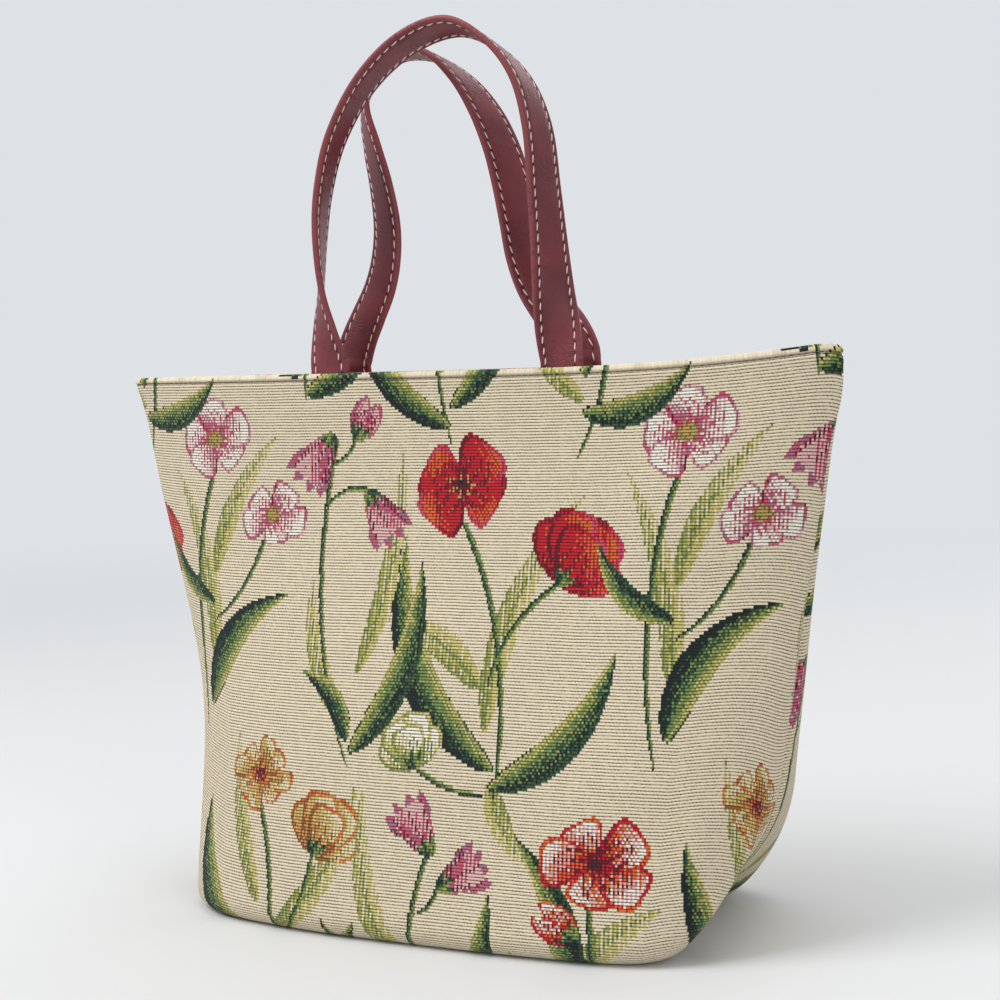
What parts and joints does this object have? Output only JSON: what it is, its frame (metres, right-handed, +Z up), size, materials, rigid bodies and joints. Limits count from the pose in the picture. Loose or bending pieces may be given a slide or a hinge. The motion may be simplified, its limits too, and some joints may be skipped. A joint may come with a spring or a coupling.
{
  "type": "tapestry tote bag",
  "caption": "Small open tote of ribbed floral tapestry with boxed bottom corners, a facing inside the rim, a lining and a pair of stitched burgundy strap handles.",
  "frame": {"origin": "on the floor under the middle of the bag's box", "axes": "+Z up through the handles, -Y towards the front panel, +X to the right seen from the front"},
  "size_m": [0.388, 0.1694, 0.4402],
  "materials": {
    "tapestry": "ribbed jacquard tapestry, cream ground with woven flowers",
    "lining": "plain woven cotton lining",
    "strap": "satin grained burgundy leather-look strap",
    "thread": "pale cream-pink sewing thread"
  },
  "bodies": {
    "root": {"front_panel": "tapestry", "back_panel": "tapestry", "front_facing": "tapestry", "back_facing": "tapestry", "front_lining": "lining", "back_lining": "lining", "front_handle": "strap", "back_handle": "strap"}
  },
  "joints": []
}
